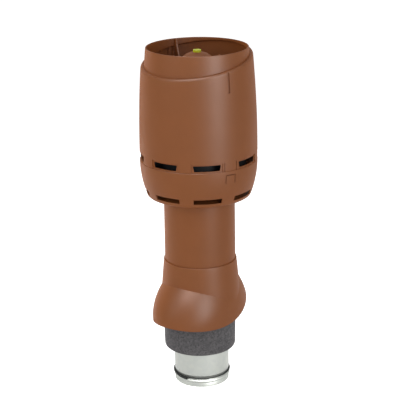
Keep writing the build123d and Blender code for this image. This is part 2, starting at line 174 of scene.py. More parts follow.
# A box between two radii on the downhill side, whose top may flare out sideways
def radialBox(name, inner, outer, width, low, high, flare=0.0):
    deselectAll()
    bpy.ops.mesh.primitive_cube_add(size=1)
    block = bpy.context.object
    block.name = name
    block.scale = (width * mm, (outer - inner) * mm, (high - low) * mm)
    block.location = (0, -(inner + outer) / 2 * mm, (low + high) / 2 * mm)
    applyPlace(block)
    if flare:
        bpy.ops.object.mode_set(mode="EDIT")
        work = bmesh.from_edit_mesh(block.data)
        middle = (low + high) / 2 * mm
        for corner in work.verts:
            corner.select = corner.co.z > middle
        work.select_flush_mode()
        bpy.ops.transform.resize(value=(1 + 2 * flare / width, 1, 1), center_override=(0, 0, 0))
        bpy.ops.object.mode_set(mode="OBJECT")
    return block


# Part of a tube between two upright planes through the axis
def sectorTool(name, inner, outer, low, high, width):
    tool = ringPiece(name, [(inner, low), (outer, low), (outer, high), (inner, high)])
    makeActive(tool)
    bpy.ops.object.mode_set(mode="EDIT")
    half = math.radians(width / 2)
    for side in (-1, 1):
        bpy.ops.mesh.select_all(action="SELECT")
        bpy.ops.mesh.bisect(plane_co=(0, 0, 0), plane_no=(side * math.cos(half), math.sin(half), 0),
                            use_fill=True, clear_outer=True)
    bpy.ops.mesh.select_all(action="SELECT")
    bpy.ops.mesh.normals_make_consistent(inside=False)
    bpy.ops.object.mode_set(mode="OBJECT")
    return tool


# Copies of a piece at each angle round the axis, each with its own mesh
def aroundAxis(piece, angles):
    copies = []
    for angle in angles:
        makeActive(piece)
        bpy.ops.object.duplicate(linked=False)
        copy = bpy.context.object
        copy.rotation_euler = (0, 0, math.radians(angle))
        applyPlace(copy)
        copies.append(copy)
    bpy.data.objects.remove(piece)
    return copies


def joinPieces(pieces):
    makeActive(pieces[0])
    for piece in pieces:
        piece.select_set(True)
    bpy.ops.object.join()
    return bpy.context.object


# Boolean with one tool or several joined ones; the tool is used up. The quick solver needs
# clean closed solids, the exact one also takes tools that overlap or touch
def combine(piece, tool, operation, overlapping=False):
    makeActive(piece)
    change = piece.modifiers.new("combine", "BOOLEAN")
    change.operation = operation
    change.solver = "EXACT" if overlapping else "MANIFOLD"
    change.use_self = overlapping
    change.object = tool
    bpy.ops.object.modifier_apply(modifier=change.name)
    bpy.data.objects.remove(tool)


def finishPiece(piece, nodeName, finish, sharpest=30):
    makeActive(piece)
    bpy.ops.object.shade_smooth_by_angle(angle=math.radians(sharpest))
    piece.data.materials.clear()
    piece.data.materials.append(finish)
    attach(piece, "root")
    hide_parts(nodeName)
    print(piece.name, "made:", len(piece.data.polygons), "faces")


def barrelR(z):
    curve = vent["barrelCurve"]
    return vent["hoodR"] - curve + math.sqrt(curve ** 2 - (z - vent["bellyZ"]) ** 2)


def ringR(z):
    return vent["ringR"] + vent["ringDraft"] * (vent["topZ"] - z)


# Materials

def linear(hexColour):
    channels = [int(hexColour[k:k + 2], 16) / 255 for k in (0, 2, 4)]
    return [c / 12.92 if c <= 0.04045 else ((c + 0.055) / 1.055) ** 2.4 for c in channels] + [1.0]


def addNode(tree, kind, settings=None, links=None):
    node = tree.nodes.new(kind)
    for key, value in (settings or {}).items():
        if hasattr(node, str(key)):
            setattr(node, key, value)
        else:
            node.inputs[key].default_value = value
    for socket, source in (links or {}).items():
        tree.links.new(source, node.inputs[socket])
    return node


# Places of a Mix node's colours, of the colour that comes out, and of its two numbers
mixA, mixB, mixed = 6, 7, 2
mixFloatA, mixFloatB = 2, 3


def newMaterial(name):
    material = bpy.data.materials.new(name)
    material.use_nodes = True
    material.node_tree.nodes.clear()
    return material, material.node_tree


# Moulded polypropylene, brick red-brown: a fine matt grain softens the highlights, slow waves in
# its gloss show where the melt cooled, and edges catch the light because they are rounded
plasticLook = {
    "colour": "884F28",
    "deepColour": "804A24",
    "grainSize": 1.1,         # finer on the real one, but that would not show
    "grainDepth": 0.03,
    "grainStrength": 0.25,
    "mottleSize": 60.0,
    "gloss": (0.42, 0.52),    # least and most roughness
    "sheen": (0.24, 0.0),     # specular level seen straight on and along the surface
    "ior": 1.49,
    "edgeRound": 0.5,
}


def mouldedPolypropylene():
    look = plasticLook
    material, tree = newMaterial("mouldedPolypropylene")
    place = addNode(tree, "ShaderNodeTexCoord").outputs["Object"]
    mottle = addNode(tree, "ShaderNodeTexNoise", {
        "Scale": 1 / (look["mottleSize"] * mm), "Detail": 3.0}, {"Vector": place})
    colour = addNode(tree, "ShaderNodeMix", {
        "data_type": "RGBA", mixA: linear(look["colour"]), mixB: linear(look["deepColour"])},
        {0: mottle.outputs["Fac"]})
    gloss = addNode(tree, "ShaderNodeMapRange", {
        "To Min": look["gloss"][0], "To Max": look["gloss"][1]}, {"Value": mottle.outputs["Fac"]})
    grain = addNode(tree, "ShaderNodeTexNoise", {
        "Scale": 1 / (look["grainSize"] * mm), "Detail": 2.0}, {"Vector": place})
    edge = addNode(tree, "ShaderNodeBevel", {"samples": 4, "Radius": look["edgeRound"] * mm})
    bump = addNode(tree, "ShaderNodeBump", {
        "Strength": look["grainStrength"], "Distance": look["grainDepth"] * mm},
        {"Height": grain.outputs["Fac"], "Normal": edge.outputs["Normal"]})
    slant = addNode(tree, "ShaderNodeLayerWeight", {"Blend": 0.5})
    sheen = addNode(tree, "ShaderNodeMapRange", {
        "To Min": look["sheen"][0], "To Max": look["sheen"][1]}, {"Value": slant.outputs["Facing"]})
    shader = addNode(tree, "ShaderNodeBsdfPrincipled", {"IOR": look["ior"]}, {
        "Specular IOR Level": sheen.outputs["Result"],
        "Base Color": colour.outputs[mixed],
        "Roughness": gloss.outputs["Result"],
        "Normal": bump.outputs["Normal"]})
    addNode(tree, "ShaderNodeOutputMaterial", links={"Surface": shader.outputs[0]})
    return material


# Beaded foam: pressed beads a few millimetres wide give a pebbled skin, mottled and quite matt,
# with fine upright streaks where it slid out of its mould
foamLook = {
    "colour": "6C696A",
    "deepColour": "363538",
    "beadSize": 3.2,
    "beadDepth": 0.35,
    "beadStrength": 0.6,
    "streakWidth": 1.5,
    "streakHeight": 12.0,
    "streakShare": 0.35,      # of the shade, the rest comes from the beads
    "roughness": 0.92,
    "level": 0.3,
}


def beadedFoam():
    look = foamLook
    material, tree = newMaterial("beadedFoam")
    place = addNode(tree, "ShaderNodeTexCoord").outputs["Object"]
    bead = addNode(tree, "ShaderNodeTexVoronoi", {"Scale": 1 / (look["beadSize"] * mm)}, {"Vector": place})
    stretch = addNode(tree, "ShaderNodeMapping", {
        "Scale": [1 / (look[k] * mm) for k in ("streakWidth", "streakWidth", "streakHeight")]},
        {"Vector": place})
    streak = addNode(tree, "ShaderNodeTexNoise", {"Scale": 1.0, "Detail": 2.0},
                     {"Vector": stretch.outputs[0]})
    shade = addNode(tree, "ShaderNodeMix", {"Factor": look["streakShare"]}, {
        mixFloatA: bead.outputs["Color"], mixFloatB: streak.outputs["Fac"]})
    colour = addNode(tree, "ShaderNodeMix", {
        "data_type": "RGBA", mixA: linear(look["deepColour"]), mixB: linear(look["colour"])},
        {0: shade.outputs[0]})
    bump = addNode(tree, "ShaderNodeBump", {
        "Strength": look["beadStrength"], "Distance": look["beadDepth"] * mm, "invert": True},
        {"Height": bead.outputs["Distance"]})
    shader = addNode(tree, "ShaderNodeBsdfPrincipled", {
        "Roughness": look["roughness"], "Specular IOR Level": look["level"]},
        {"Base Color": colour.outputs[mixed], "Normal": bump.outputs["Normal"]})
    addNode(tree, "ShaderNodeOutputMaterial", links={"Surface": shader.outputs[0]})
    return material


# Galvanised steel: zinc crystals give faint patches of different gloss and tint, and the rolling
# left fine lines round the tube that stretch the highlights upright
steelLook = {
    "colour": "A8AAA4",
    "deepColour": "A3A6A2",
    "spangle": 9.0,
    "roughness": (0.42, 0.48),
    "lineHeight": 0.6,
    "lineLength": 40.0,
    "lineDepth": 0.004,
    "lineStrength": 0.3,
    "edgeRound": 0.4,
}


def galvanisedSteel():
    look = steelLook
    material, tree = newMaterial("galvanisedSteel")
    place = addNode(tree, "ShaderNodeTexCoord").outputs["Object"]
    crystal = addNode(tree, "ShaderNodeTexVoronoi", {"Scale": 1 / (look["spangle"] * mm)}, {"Vector": place})
    colour = addNode(tree, "ShaderNodeMix", {
        "data_type": "RGBA", mixA: linear(look["colour"]), mixB: linear(look["deepColour"])},
        {0: crystal.outputs["Color"]})
    rough = addNode(tree, "ShaderNodeMapRange", {
        "To Min": look["roughness"][0], "To Max": look["roughness"][1]}, {"Value": crystal.outputs["Color"]})
    stretch = addNode(tree, "ShaderNodeMapping", {
        "Scale": [1 / (look[k] * mm) for k in ("lineLength", "lineLength", "lineHeight")]},
        {"Vector": place})
    lines = addNode(tree, "ShaderNodeTexNoise", {"Scale": 1.0, "Detail": 3.0},
                    {"Vector": stretch.outputs[0]})
    edge = addNode(tree, "ShaderNodeBevel", {"samples": 4, "Radius": look["edgeRound"] * mm})
    bump = addNode(tree, "ShaderNodeBump", {
        "Strength": look["lineStrength"], "Distance": look["lineDepth"] * mm},
        {"Height": lines.outputs["Fac"], "Normal": edge.outputs["Normal"]})
    shader = addNode(tree, "ShaderNodeBsdfPrincipled", {"Metallic": 1.0}, {
        "Base Color": colour.outputs[mixed],
        "Roughness": rough.outputs["Result"],
        "Normal": bump.outputs["Normal"]})
    addNode(tree, "ShaderNodeOutputMaterial", links={"Surface": shader.outputs[0]})
    return material


# Small parts share one build: two tints in soft patches, a fine grain, and rounded edges that
# catch the light. Rubber is matt and dusty, yellow and black plastic smooth, the screws are zinc
smallGrain = {"depth": 0.02, "strength": 0.3, "edgeRound": 0.3}
smallLooks = {
    "epdmRubber": {"colour": "232524", "deepColour": "1B1D1C", "rough": (0.6, 0.8), "patch": 14.0,
                   "grain": 0.5, "level": 0.2},
    "yellowPlastic": {"colour": "C2C81C", "deepColour": "B2B814", "rough": (0.45, 0.55), "patch": 8.0,
                      "grain": 0.8, "level": 0.2},
    "blackPlastic": {"colour": "17171A", "deepColour": "101012", "rough": (0.6, 0.75), "patch": 40.0,
                     "grain": 0.9, "level": 0.2},
    "zincScrew": {"colour": "BFC0BC", "deepColour": "A8A9A4", "rough": (0.25, 0.4), "patch": 3.0,
                  "grain": 0.4, "metallic": 1.0},
}


def smallMaterial(name):
    look = smallLooks[name]
    material, tree = newMaterial(name)
    place = addNode(tree, "ShaderNodeTexCoord").outputs["Object"]
    patch = addNode(tree, "ShaderNodeTexNoise", {
        "Scale": 1 / (look["patch"] * mm), "Detail": 3.0}, {"Vector": place})
    colour = addNode(tree, "ShaderNodeMix", {
        "data_type": "RGBA", mixA: linear(look["colour"]), mixB: linear(look["deepColour"])},
        {0: patch.outputs["Fac"]})
    rough = addNode(tree, "ShaderNodeMapRange", {
        "To Min": look["rough"][0], "To Max": look["rough"][1]}, {"Value": patch.outputs["Fac"]})
    grain = addNode(tree, "ShaderNodeTexNoise", {
        "Scale": 1 / (look["grain"] * mm), "Detail": 2.0}, {"Vector": place})
    edge = addNode(tree, "ShaderNodeBevel", {"samples": 4, "Radius": smallGrain["edgeRound"] * mm})
    bump = addNode(tree, "ShaderNodeBump", {
        "Strength": smallGrain["strength"], "Distance": smallGrain["depth"] * mm},
        {"Height": grain.outputs["Fac"], "Normal": edge.outputs["Normal"]})
    shader = addNode(tree, "ShaderNodeBsdfPrincipled", {
        "Metallic": look.get("metallic", 0.0), "Specular IOR Level": look.get("level", 0.5)},
        {"Base Color": colour.outputs[mixed],
         "Roughness": rough.outputs["Result"],
         "Normal": bump.outputs["Normal"]})
    addNode(tree, "ShaderNodeOutputMaterial", links={"Surface": shader.outputs[0]})
    return material


brickPlastic = mouldedPolypropylene()
sleeveFoam = beadedFoam()
ductSteel = galvanisedSteel()
smallMaterials = {name: smallMaterial(name) for name in smallLooks}
print("materials made: plastic, foam, steel and", len(smallMaterials), "for small parts")


# Hood shell: joint at its foot, barrel, slanted shoulder with a rounded edge, drafted ring
shell = {
    "jointChamfer": 1.0,
    "leanFrom": 640.0,        # the rings of the barrel begin to lean here
    "barrelRings": 10,        # upright ones, and as many that lean
    "topRings": 5,
    "drift": 0.085,           # the wall's draft, which shifts a leaning ring downhill
    "shoulderZ": 750.7,       # on the axis
    "shoulderRound": 6.0,
    "ledgeThick": 2.2,
    "innerRound": 3.0,
    "rimRound": 1.2, "rimInnerRound": 0.8,
    "lipIn": 123.3, "lipOut": 126.1, "lipLow": 517.0,
    "sillZ": 531.5,
    "windowIn": 105.0, "windowOut": 135.0, "windowLow": 532.0, "windowHigh": 545.0,
    "windowWidth": 26.75,     # degrees
    "windowTaper": 2.5, "windowCorner": 2.0,
    "postLatch": 20.5,        # degrees between two windows beside a latch
    "frameDepth": 2.0, "frameHigh": 548.5,
    "frameMargin": 1.9,       # degrees on each side of a window
    "markAngle": 6.5, "markWidth": 1.3,
    "slotWidth": 5.0, "slotDepth": 2.2, "slotLow": 696.0, "slotHigh": 760.0,
    "backWidth": 8.0, "backDepth": 3.0, "backLow": 692.0,
}


# The barrel's upright rings from below, then rings that lean more and more
def barrelRows(inset, low):
    rings = shell["barrelRings"]
    rows = []
    for k in range(rings):
        z = low + (shell["leanFrom"] - low) * k / rings
        rows.append((barrelR(z) - inset, z))
    top = shell["shoulderZ"] - shell["shoulderRound"]
    for k in range(rings):
        part = k / rings
        z = shell["leanFrom"] + (top - shell["leanFrom"]) * part
        rows.append((barrelR(z) - inset, z, part))
    return rows


# Up the outside from the joint to the rim, then down the inside to the lip behind the joint
def shellRows():
    wall, foot, base = vent["wall"], vent["jointZ"], shell["shoulderZ"]
    edge, rings = shell["jointChamfer"], shell["topRings"]
    rows = [(barrelR(foot) - edge, foot), (barrelR(foot + edge), foot + edge)]
    rows += barrelRows(0, foot + 2 * edge)
    bend = base - shell["shoulderRound"]
    shoulder = (barrelR(bend) - shell["shoulderRound"], bend)
    rows += [(*spot, 1) for spot in arc(shoulder, shell["shoulderRound"], 0, 90)]
    rows += [(ringR(base), base, 1)]
    rise = vent["topZ"] - shell["rimRound"] - base
    for k in range(1, rings):
        z = base + rise * k / rings
        rows.append((ringR(z), z, 1 - k / rings))
    rim = (vent["ringR"] - shell["rimRound"], vent["topZ"] - shell["rimRound"])
    rows += arc(rim, shell["rimRound"], 0, 90, 4)
    inner, small = vent["ringR"] - wall, shell["rimInnerRound"]
    rows += arc((inner + small, vent["topZ"] - small), small, 90, 180, 3)
    under = base - shell["ledgeThick"]
    curl = shell["innerRound"]
    rise = vent["topZ"] - small - under - curl
    for k in range(rings - 1, 0, -1):
        z = under + curl + rise * k / rings
        rows.append((ringR(z) - wall, z, 1 - k / rings))
    turnR = ringR(under + curl) - wall + curl
    rows += [(*spot, 1) for spot in arc((turnR, under + curl), curl, 180, 270, 5)]
    cornerR = barrelR(under) - wall - curl
    rows += [(*spot, 1) for spot in arc((cornerR, under - curl), curl, 90, 0, 5)]
    rows += barrelRows(wall, shell["sillZ"])[:0:-1]
    rows += [(barrelR(shell["sillZ"]) - wall, shell["sillZ"]), (shell["lipIn"], shell["sillZ"])]
    rows += [(shell["lipIn"], shell["lipLow"]), (shell["lipOut"], shell["lipLow"]), (shell["lipOut"], foot)]
    return rows


def windowTool():
    half = vent["hoodR"] * math.sin(math.radians(shell["windowWidth"] / 2))
    tool = radialBox("window", shell["windowIn"], shell["windowOut"], 2 * (half - shell["windowTaper"]),
                     shell["windowLow"], shell["windowHigh"], flare=shell["windowTaper"])
    makeActive(tool)
    bpy.ops.object.mode_set(mode="EDIT")
    work = bmesh.from_edit_mesh(tool.data)
    bpy.ops.mesh.select_mode(type="EDGE")
    for line in work.edges:
        run = line.verts[1].co - line.verts[0].co
        line.select = abs(run.y) > 0.9 * run.length  # the four edges that go through the wall
    work.select_flush_mode()
    bpy.ops.mesh.bevel(offset=shell["windowCorner"] * mm, segments=4, affect="EDGES")
    bpy.ops.mesh.select_mode(type="VERT")
    bpy.ops.object.mode_set(mode="OBJECT")
    return tool


# A box between two depths under the barrel's skin; its upper end follows the barrel inwards
def barrelBox(name, deep, shallow, width, low, high):
    tool = radialBox(name, barrelR(low) - deep, barrelR(low) - shallow, width, low, high)
    makeActive(tool)
    bpy.ops.object.mode_set(mode="EDIT")
    work = bmesh.from_edit_mesh(tool.data)
    for corner in work.verts:
        corner.select = corner.co.z > (low + high) / 2 * mm
    work.select_flush_mode()
    bpy.ops.transform.translate(value=(0, (barrelR(low) - barrelR(high)) * mm, 0))
    bpy.ops.object.mode_set(mode="OBJECT")
    return tool


# Inside pads behind the slots, each up to the underside of the shoulder at its place
def slotBacks():
    pads = []
    for latch in vent["latches"]:
        under = shell["shoulderZ"] - math.cos(math.radians(latch)) * barrelR(shell["shoulderZ"]) * shear
        pad = barrelBox("slotBack", vent["wall"] + shell["backDepth"], vent["wall"] / 2, shell["backWidth"],
                        shell["backLow"], under - shell["ledgeThick"] / 2)
        pads += aroundAxis(pad, [latch])
    return joinPieces(pads)


def makeShell():
    piece = ringPiece("hoodShell", shellRows(), drift=shell["drift"])
    combine(piece, slotBacks(), "UNION")
    step = (shell["postLatch"] + shell["windowWidth"]) / 2
    windows = [vent["latches"][0] + 90 * group + side * step for group in range(4) for side in (-1, 1)]
    frameIn, frameOut = vent["hoodR"] - shell["frameDepth"], vent["hoodR"] + vent["toolPast"]
    frameLow = vent["jointZ"] - vent["toolMargin"]
    frameTool = sectorTool("frame", frameIn, frameOut, frameLow, shell["frameHigh"],
                           shell["windowWidth"] + 2 * shell["frameMargin"])
    tools = aroundAxis(windowTool(), windows) + aroundAxis(frameTool, windows)
    markTool = radialBox("mark", frameIn, frameOut, shell["markWidth"], frameLow, shell["frameHigh"])
    marks = [latch + side * shell["markAngle"] for latch in vent["latches"] for side in (-1, 1)]
    slot = barrelBox("slot", shell["slotDepth"], -vent["wall"], shell["slotWidth"], shell["slotLow"],
                     shell["slotHigh"])
    tools += aroundAxis(markTool, marks) + aroundAxis(slot, vent["latches"])
    combine(piece, joinPieces(tools), "DIFFERENCE", overlapping=True)
    finishPiece(piece, "hood_shell", brickPlastic)


makeShell()


# Hood bowl: rounded wall, floor that falls outwards, socket on the pipe, drain slots, latch tongues
bowl = {
    "lowZ": 446.0, "curve": 226.0, "cornerRound": 6.0, "innerRound": 2.0, "wallRings": 14,
    "socketIn": 79.0, "socketOut": 81.6, "socketTop": 480.0, "floorRise": 9.0,
    "drainLow": 456.5, "drainHigh": 467.5, "drains": 8,
    "drainWidth": 30.0,       # degrees
    "tongueWidth": 24.0, "tongueLow": 501.0, "tongueHigh": 520.5, "tongueSlit": 1.3,
}


def bowlR(z):
    return vent["hoodR"] - bowl["curve"] + math.sqrt(bowl["curve"] ** 2 - (vent["jointZ"] - z) ** 2)


def bowlRows():
    wall, low, top = vent["wall"], bowl["lowZ"], vent["jointZ"]
    edge, rings = shell["jointChamfer"], bowl["wallRings"]
    floorZ = low + bowl["floorRise"]
    rise = top - edge - low
    outer = [(bowlR(low + rise * k / rings), low + rise * k / rings) for k in range(2, rings + 1)]
    inner = [(r - wall, z) for r, z in outer[1:-1]][::-1]
    return soften([
        (bowl["socketIn"], bowl["socketTop"]), (bowl["socketIn"], floorZ),
        (bowlR(low), low, bowl["cornerRound"]), *outer, (bowlR(top) - edge, top), (bowlR(top) - wall, top),
        *inner, (bowlR(low + wall) - wall, low + wall, bowl["innerRound"]),
        (bowl["socketOut"], floorZ + wall), (bowl["socketOut"], bowl["socketTop"]),
    ])


# U-shaped slit round a latch tongue
def tongueTool():
    margin = vent["toolMargin"]
    inner, outer = bowlR(bowl["tongueLow"]) - 2 * vent["wall"], vent["hoodR"] + margin
    wide, slit = bowl["tongueWidth"], bowl["tongueSlit"]
    tool = radialBox("tongueSlit", inner, outer, wide, bowl["tongueLow"], bowl["tongueHigh"])
    core = radialBox("tongueCore", inner - margin, outer + margin, wide - 2 * slit,
                     bowl["tongueLow"] - margin, bowl["tongueHigh"] - slit)
    combine(tool, core, "DIFFERENCE")
    return tool


def makeBowl():
    piece = ringPiece("hoodBowl", bowlRows())
    drain = sectorTool("drain", bowlR(bowl["drainLow"]) - 2 * vent["wall"], vent["hoodR"], bowl["drainLow"],
                       bowl["drainHigh"], bowl["drainWidth"])
    tools = aroundAxis(drain, [360 / bowl["drains"] * k for k in range(bowl["drains"])])
    tools += aroundAxis(tongueTool(), vent["latches"])
    combine(piece, joinPieces(tools), "DIFFERENCE")
    finishPiece(piece, "hood_bowl", brickPlastic)


makeBowl()


# Outer pipe: slightly drafted, with a narrower spigot inside the bowl's socket
pipe = {"spigotLow": 440.0, "spigotR": 79.0, "top": 480.0, "bore": 76.4, "footRound": 0.8}


def makePipe():
    low, step = vent["pipeBottom"], pipe["spigotLow"]
    stepR = vent["pipeR"] - vent["pipeDraft"] * (step - low)
    piece = ringPiece("outerPipe", soften([
        (pipe["bore"], low), (vent["pipeR"], low, pipe["footRound"]), (stepR, step), (pipe["spigotR"], step),
        (pipe["spigotR"], pipe["top"]), (pipe["bore"], pipe["top"])]))
    finishPiece(piece, "outer_pipe", brickPlastic)


makePipe()


# Roof skirt: drafted collar and an oval bulge that leans down the roof, cut to an arched edge
skirt = {
    "collarTop": 296.0, "collarLow": 185.0, "collarR": 82.1, "collarDraft": 0.09, "collarRound": 1.2,
    "collarRings": 10,
    "mouthZ": 284.0,          # above it the collar closes in on the pipe
    "mouthRound": 0.5,
    "wall": 2.6,
    "bulgeDown": 127.6, "bulgeAcross": 95.6, "bulgeUp": 120.4, "bulgeZ": 161.8,
    "bulgeEase": 3.4,         # how much flatter than a ball its sides are
    "bulgeTail": 60.0, "bulgeLean": 30.4,
    "sideRings": 16, "crownRings": 30,
    "crownEnd": 89.0,         # degrees, a small flat cap closes the crown
    "archR": 180.0, "archTop": 187.6, "archSteps": 360,
    "ribs": 8, "ribWidth": 2.0, "ribLow": 240.0, "ribIn": 2.0, "ribOut": 5.0,
    "grip": 0.3,              # the collar's mouth grips the pipe by this much
    "boreLow": 100.0, "boreHigh": 310.0,
    "sharpest": 12,           # degrees, keeps the fold between collar and bulge crisp
}


# Solid oval: ball crown that runs into flatter sides, stretched down the roof and leaned over
def bulgePiece(name, inset):
    up, across = skirt["bulgeUp"] - inset, skirt["bulgeAcross"] - inset
    crown = across - skirt["bulgeEase"]
    side = (across ** 2 + up ** 2 - 2 * up * crown) / (2 * skirt["bulgeEase"])
    crownZ = up - crown
    blend = math.degrees(math.atan2(crownZ, side - across))
    foot = math.degrees(math.asin(skirt["bulgeTail"] / side))
    rows = arc((across - side, 0), side, -foot, blend, skirt["sideRings"])
    rows += arc((0, crownZ), crown, blend, skirt["crownEnd"], skirt["crownRings"])[1:]
    piece = ringPiece(name, rows, capped=True)
    piece.scale = (1, (skirt["bulgeDown"] - inset) / across, 1)
    piece.rotation_euler = (math.radians(skirt["bulgeLean"]), 0, 0)
    piece.location = (0, 0, skirt["bulgeZ"] * mm)
    applyPlace(piece)
    return piece


def collarPiece(name, inset, top, rounding):
    def radius(z):
        return skirt["collarR"] + skirt["collarDraft"] * (skirt["collarTop"] - z) - inset
    low, rings = skirt["collarLow"], skirt["collarRings"]
    rows = [(radius(low + (top - low) * k / rings), low + (top - low) * k / rings) for k in range(rings)]
    rows += arc((radius(top) - rounding, top - rounding), rounding, 0, 90, 4)
    return ringPiece(name, rows, capped=True)


def makeSkirt():
    piece = collarPiece("roofSkirt", 0, skirt["collarTop"], skirt["collarRound"])
    combine(piece, bulgePiece("bulge", 0), "UNION")
    hollow = collarPiece("hollow", skirt["wall"], skirt["mouthZ"], skirt["mouthRound"])
    combine(hollow, bulgePiece("bulgeInside", skirt["wall"]), "UNION")
    # the ribs are what their boxes take out of the hollow
    rib = radialBox("rib", vent["pipeR"] - skirt["ribIn"], vent["pipeR"] + skirt["ribOut"], skirt["ribWidth"],
                    skirt["ribLow"], skirt["mouthZ"] + vent["toolMargin"])
    ribs = aroundAxis(rib, [360 / skirt["ribs"] * (k + 0.5) for k in range(skirt["ribs"])])
    combine(hollow, joinPieces(ribs), "DIFFERENCE")
    combine(piece, hollow, "DIFFERENCE")
    boreR = vent["pipeR"] - skirt["grip"]
    bore = ringPiece("bore", [(boreR, skirt["boreLow"]), (boreR, skirt["boreHigh"])], capped=True)
    combine(piece, bore, "DIFFERENCE")
    deselectAll()
    bpy.ops.mesh.primitive_cylinder_add(vertices=skirt["archSteps"], radius=skirt["archR"] * mm,
                                        depth=4 * skirt["archR"] * mm)
    arch = bpy.context.object
    arch.rotation_euler = (math.radians(90 + vent["roofSlope"]), 0, 0)
    arch.location = (0, 0, (skirt["archTop"] - skirt["archR"]) * mm)
    applyPlace(arch)
    combine(piece, arch, "DIFFERENCE")
    finishPiece(piece, "roof_skirt", brickPlastic, sharpest=skirt["sharpest"])


makeSkirt()


# Foam sleeve: thick drafted flange below the pipe, thinner inside it. The flange sits off the
# axis in the photograph, towards the camera's left
sleeve = {
    "bore": 62.5, "low": 84.5, "flangeTop": 150.0, "top": 440.0, "innerR": 76.4,
    "flangeR": 80.8, "draft": 0.02, "flangeRings": 4, "footRound": 5.0, "aside": 3.2,
    "pickGap": 0.1,           # how near a corner may be to what is left where it is
}


def makeSleeve():
    low, top, rings = sleeve["low"], sleeve["flangeTop"], sleeve["flangeRings"]
    flange = [(sleeve["flangeR"] + sleeve["draft"] * (top - low) * k / rings, low + (top - low) * k / rings)
              for k in range(2, rings + 1)]
    foot = (sleeve["flangeR"], low, sleeve["footRound"])
    piece = ringPiece("foamSleeve", soften([
        (sleeve["bore"], low), foot, *flange, (sleeve["innerR"], top), (sleeve["innerR"], sleeve["top"]),
        (sleeve["bore"], sleeve["top"])]))
    makeActive(piece)
    bpy.ops.object.mode_set(mode="EDIT")
    bpy.ops.mesh.select_all(action="DESELECT")
    work = bmesh.from_edit_mesh(piece.data)
    pickR, pickZ = (sleeve["innerR"] + sleeve["pickGap"]) * mm, (top + sleeve["pickGap"]) * mm
    for corner in work.verts:
        corner.select = corner.co.xy.length > pickR and corner.co.z < pickZ
    work.select_flush_mode()
    bearing = math.radians(shot["bearing"])
    bpy.ops.transform.translate(value=(-sleeve["aside"] * math.cos(bearing) * mm,
                                       -sleeve["aside"] * math.sin(bearing) * mm, 0))
    bpy.ops.object.mode_set(mode="OBJECT")
    finishPiece(piece, "insulation_sleeve", sleeveFoam)


makeSleeve()


# Steel duct: plain end, rolled bead, groove of the seal, then a plain tube to the hood
duct = {
    "wall": 0.8, "top": 520.0, "bodyLow": 26.8, "bodyRings": 4,
    "endR": 61.9, "grooveR": 61.2,
    "neck": [(0.0, 0.0), (0.0, 7.2), (0.4, 8.3), (0.6, 9.4), (0.4, 10.6)],  # (less than endR, height)
    "beadOut": 0.3, "beadZ": 13.6, "beadR": 2.6,
    "beadHalf": 50.0,         # degrees on each side of the bead's crest
    "grooveLow": 17.6, "grooveHigh": 24.3,
    "easeOut": 0.4, "easeZ": 25.2,      # the groove's wall rolls out here
    "bodyIn": 0.2, "bodyInZ": 26.0,
}


def makeDuct():
    groove, body, low = duct["grooveR"], vent["ductR"], duct["bodyLow"]
    outer = [(duct["endR"] - less, z) for less, z in duct["neck"]]
    bead = (groove + duct["beadOut"], duct["beadZ"])
    outer += arc(bead, duct["beadR"], -duct["beadHalf"], duct["beadHalf"], 8)
    outer += [(groove, duct["grooveLow"]), (groove, duct["grooveHigh"])]
    outer += [(groove + duct["easeOut"], duct["easeZ"]), (body - duct["bodyIn"], duct["bodyInZ"]), (body, low)]
    rings = duct["bodyRings"]
    outer += [(body, low + (duct["top"] - low) * k / rings) for k in range(1, rings + 1)]
    inner = [(r - duct["wall"], z) for r, z in outer[::-1]]
    piece = ringPiece("steelDuct", outer + inner)
    finishPiece(piece, "steel_duct", ductSteel)


makeDuct()


# Rubber seal: a thin lip out of the groove, and a stretch that is folded down, deeper and deeper
# to its slanted end
seal = {
    "seatR": 61.2, "low": 20.1, "bodyR": 63.1,
    "bodyFlare": 0.3, "lipR": 65.1, "lipLow": 20.8, "lipHigh": 21.3,
    "lipSlant": 0.1,          # the lip's root is this much thicker on each side
    "foldIn": 62.9, "foldOut": 65.2, "foldTop": 21.1, "foldTip": 15.4,
    "foldFrom": -74.0, "foldTo": 4.0,
    "endSlant": 35.0,         # degrees
    "weld": 0.02,             # corners nearer than this are one
}


def outward(angle):
    turn = math.radians(angle)
    return Vector((math.sin(turn), -math.cos(turn), 0))


# Part of a tube, cut from below by a plane that falls to the tip, and slanted at the tip
def makeFold():
    start, end = seal["foldFrom"], seal["foldTo"]
    fold = sectorTool("fold", seal["foldIn"], seal["foldOut"], seal["foldTip"], seal["foldTop"], end - start)
    fold.rotation_euler = (0, 0, math.radians((start + end) / 2))
    applyPlace(fold)
    middle = (seal["foldIn"] + seal["foldOut"]) / 2
    high = outward(start) * middle + Vector((0, 0, seal["lipLow"]))
    tip = outward(end) * middle + Vector((0, 0, seal["foldTip"]))
    under = (tip - high).cross(outward((start + end) / 2)).normalized()
    if under.z > 0:
        under = -under
    slant = math.radians(seal["endSlant"])
    along = Vector((math.cos(math.radians(end)), math.sin(math.radians(end)), 0))
    endFacing = along * math.cos(slant) - Vector((0, 0, math.sin(slant)))
    bpy.ops.object.mode_set(mode="EDIT")
    for spot, facing in ((high, under), (tip, endFacing)):
        bpy.ops.mesh.select_all(action="SELECT")
        bpy.ops.mesh.bisect(plane_co=spot * mm, plane_no=facing, use_fill=True, clear_outer=True)
    bpy.ops.mesh.select_all(action="SELECT")
    bpy.ops.mesh.remove_doubles(threshold=seal["weld"] * mm)
    bpy.ops.mesh.normals_make_consistent(inside=False)
    bpy.ops.object.mode_set(mode="OBJECT")
    return fold


